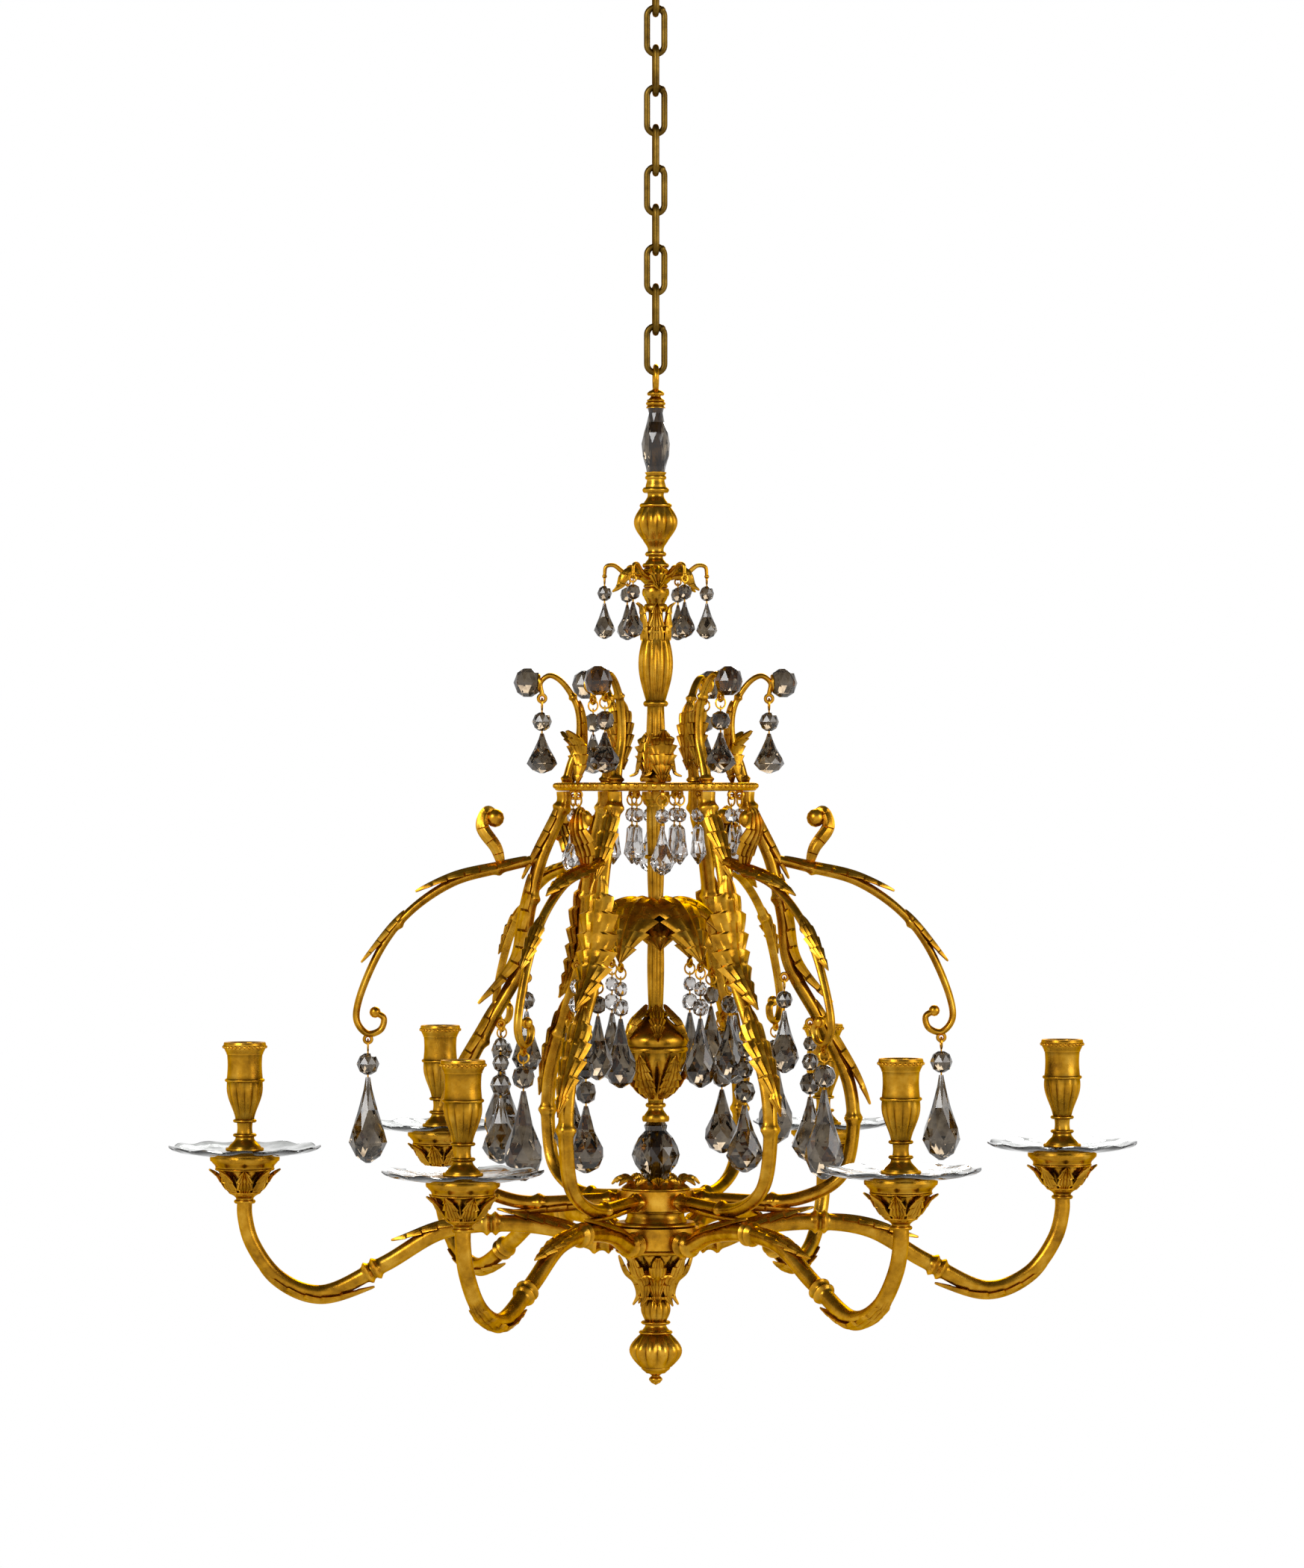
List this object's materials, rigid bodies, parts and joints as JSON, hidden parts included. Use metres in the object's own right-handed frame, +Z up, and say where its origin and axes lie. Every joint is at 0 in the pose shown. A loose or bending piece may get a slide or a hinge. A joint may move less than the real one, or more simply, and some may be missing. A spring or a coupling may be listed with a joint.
{
  "type": "candle chandelier",
  "caption": "Hanging cage chandelier for candles: curved gilt ribs and candle arms round a central stem, hung with crystal drops on a link chain.",
  "frame": {"origin": "middle of the ceiling rose's flat top face, where it meets the ceiling", "axes": "+Z up through the chain and the stem; the first candle arm points along +X and the others follow every sixth of a turn"},
  "size_m": [0.684, 0.606, 1.0335],
  "materials": {
    "gilt_brass": "gilt, softly polished",
    "aged_brass": "aged, dull",
    "cut_crystal": "cut and polished",
    "pan_glass": "pressed and polished"
  },
  "bodies": {
    "ceiling_fitting": {"ceiling_rose": "aged_brass", "ceiling_hook": "aged_brass"},
    "link_1": {"chain_link_1": "aged_brass"},
    "link_2": {"chain_link_2": "aged_brass"},
    "link_3": {"chain_link_3": "aged_brass"},
    "link_4": {"chain_link_4": "aged_brass"},
    "link_5": {"chain_link_5": "aged_brass"},
    "link_6": {"chain_link_6": "aged_brass"},
    "link_7": {"chain_link_7": "aged_brass"},
    "link_8": {"chain_link_8": "aged_brass"},
    "link_9": {"chain_link_9": "aged_brass"},
    "link_10": {"chain_link_10": "aged_brass"},
    "chandelier_frame": {"hanging_loop": "gilt_brass", "tie_rod": "aged_brass", "neck_crystal": "cut_crystal", "top_vase": "gilt_brass", "top_crown": "gilt_brass", "stem": "gilt_brass", "corona": "gilt_brass", "centre_column": "gilt_brass", "core_crystal": "cut_crystal", "arm_hub": "gilt_brass", "finial": "gilt_brass", "cage_rib_1": "gilt_brass", "cage_rib_2": "gilt_brass", "cage_rib_3": "gilt_brass", "cage_rib_4": "gilt_brass", "cage_rib_5": "gilt_brass", "cage_rib_6": "gilt_brass", "candle_arm_1": "gilt_brass", "candle_arm_2": "gilt_brass", "candle_arm_3": "gilt_brass", "candle_arm_4": "gilt_brass", "candle_arm_5": "gilt_brass", "candle_arm_6": "gilt_brass", "drip_pan_1": "pan_glass", "drip_pan_2": "pan_glass", "drip_pan_3": "pan_glass", "drip_pan_4": "pan_glass", "drip_pan_5": "pan_glass", "drip_pan_6": "pan_glass", "candle_cup_1": "gilt_brass", "candle_cup_2": "gilt_brass", "candle_cup_3": "gilt_brass", "candle_cup_4": "gilt_brass", "candle_cup_5": "gilt_brass", "candle_cup_6": "gilt_brass"},
    "scroll_drop_1": {"scroll_drop_1": "cut_crystal"},
    "scroll_drop_2": {"scroll_drop_2": "cut_crystal"},
    "scroll_drop_3": {"scroll_drop_3": "cut_crystal"},
    "scroll_drop_4": {"scroll_drop_4": "cut_crystal"},
    "scroll_drop_5": {"scroll_drop_5": "cut_crystal"},
    "scroll_drop_6": {"scroll_drop_6": "cut_crystal"},
    "corona_drop_1": {"corona_drop_1": "cut_crystal"},
    "corona_drop_2": {"corona_drop_2": "cut_crystal"},
    "corona_drop_3": {"corona_drop_3": "cut_crystal"},
    "corona_drop_4": {"corona_drop_4": "cut_crystal"},
    "corona_drop_5": {"corona_drop_5": "cut_crystal"},
    "corona_drop_6": {"corona_drop_6": "cut_crystal"}
  },
  "joints": [
    {"name": "hook_pivot", "type": "hinge", "parent": "ceiling_fitting", "child": "link_1", "pos_m": [0, 0, -0.0425], "axis": [1, 0, 0], "range_deg": [-20, 20]},
    {"name": "link_pivot_1", "type": "hinge", "parent": "link_1", "child": "link_2", "pos_m": [0, 0, -0.0697], "axis": [0, 1, 0], "range_deg": [-20, 20]},
    {"name": "link_pivot_2", "type": "hinge", "parent": "link_2", "child": "link_3", "pos_m": [0, 0, -0.0977], "axis": [1, 0, 0], "range_deg": [-20, 20]},
    {"name": "link_pivot_3", "type": "hinge", "parent": "link_3", "child": "link_4", "pos_m": [0, 0, -0.1257], "axis": [0, 1, 0], "range_deg": [-20, 20]},
    {"name": "link_pivot_4", "type": "hinge", "parent": "link_4", "child": "link_5", "pos_m": [0, 0, -0.1537], "axis": [1, 0, 0], "range_deg": [-20, 20]},
    {"name": "link_pivot_5", "type": "hinge", "parent": "link_5", "child": "link_6", "pos_m": [0, 0, -0.1817], "axis": [0, 1, 0], "range_deg": [-20, 20]},
    {"name": "link_pivot_6", "type": "hinge", "parent": "link_6", "child": "link_7", "pos_m": [0, 0, -0.2097], "axis": [1, 0, 0], "range_deg": [-20, 20]},
    {"name": "link_pivot_7", "type": "hinge", "parent": "link_7", "child": "link_8", "pos_m": [0, 0, -0.2377], "axis": [0, 1, 0], "range_deg": [-20, 20]},
    {"name": "link_pivot_8", "type": "hinge", "parent": "link_8", "child": "link_9", "pos_m": [0, 0, -0.2657], "axis": [1, 0, 0], "range_deg": [-20, 20]},
    {"name": "link_pivot_9", "type": "hinge", "parent": "link_9", "child": "link_10", "pos_m": [0, 0, -0.2937], "axis": [0, 1, 0], "range_deg": [-20, 20]},
    {"name": "loop_pivot", "type": "hinge", "parent": "link_10", "child": "chandelier_frame", "pos_m": [0, 0, -0.3217], "axis": [1, 0, 0], "range_deg": [-20, 20]},
    {"name": "scroll_drop_swing_1", "type": "hinge", "parent": "chandelier_frame", "child": "scroll_drop_1", "pos_m": [0.202, 0, -0.78974], "axis": [0, -1, 0], "range_deg": [-25, 15]},
    {"name": "scroll_drop_swing_2", "type": "hinge", "parent": "chandelier_frame", "child": "scroll_drop_2", "pos_m": [0.101, 0.17494, -0.78974], "axis": [0.866, -0.5, 0], "range_deg": [-25, 15]},
    {"name": "scroll_drop_swing_3", "type": "hinge", "parent": "chandelier_frame", "child": "scroll_drop_3", "pos_m": [-0.101, 0.17494, -0.78974], "axis": [0.866, 0.5, 0], "range_deg": [-25, 15]},
    {"name": "scroll_drop_swing_4", "type": "hinge", "parent": "chandelier_frame", "child": "scroll_drop_4", "pos_m": [-0.202, 0, -0.78974], "axis": [0, 1, 0], "range_deg": [-25, 15]},
    {"name": "scroll_drop_swing_5", "type": "hinge", "parent": "chandelier_frame", "child": "scroll_drop_5", "pos_m": [-0.101, -0.17494, -0.78974], "axis": [-0.866, 0.5, 0], "range_deg": [-25, 15]},
    {"name": "scroll_drop_swing_6", "type": "hinge", "parent": "chandelier_frame", "child": "scroll_drop_6", "pos_m": [0.101, -0.17494, -0.78974], "axis": [-0.866, -0.5, 0], "range_deg": [-25, 15]},
    {"name": "corona_drop_swing_1", "type": "hinge", "parent": "chandelier_frame", "child": "corona_drop_1", "pos_m": [0.08, 0, -0.5509], "axis": [0, -1, 0], "range_deg": [-8, 25]},
    {"name": "corona_drop_swing_2", "type": "hinge", "parent": "chandelier_frame", "child": "corona_drop_2", "pos_m": [0.04, 0.06928, -0.5509], "axis": [0.866, -0.5, 0], "range_deg": [-8, 25]},
    {"name": "corona_drop_swing_3", "type": "hinge", "parent": "chandelier_frame", "child": "corona_drop_3", "pos_m": [-0.04, 0.06928, -0.5509], "axis": [0.866, 0.5, 0], "range_deg": [-8, 25]},
    {"name": "corona_drop_swing_4", "type": "hinge", "parent": "chandelier_frame", "child": "corona_drop_4", "pos_m": [-0.08, 0, -0.5509], "axis": [0, 1, 0], "range_deg": [-8, 25]},
    {"name": "corona_drop_swing_5", "type": "hinge", "parent": "chandelier_frame", "child": "corona_drop_5", "pos_m": [-0.04, -0.06928, -0.5509], "axis": [-0.866, 0.5, 0], "range_deg": [-8, 25]},
    {"name": "corona_drop_swing_6", "type": "hinge", "parent": "chandelier_frame", "child": "corona_drop_6", "pos_m": [0.04, -0.06928, -0.5509], "axis": [-0.866, -0.5, 0], "range_deg": [-8, 25]}
  ]
}
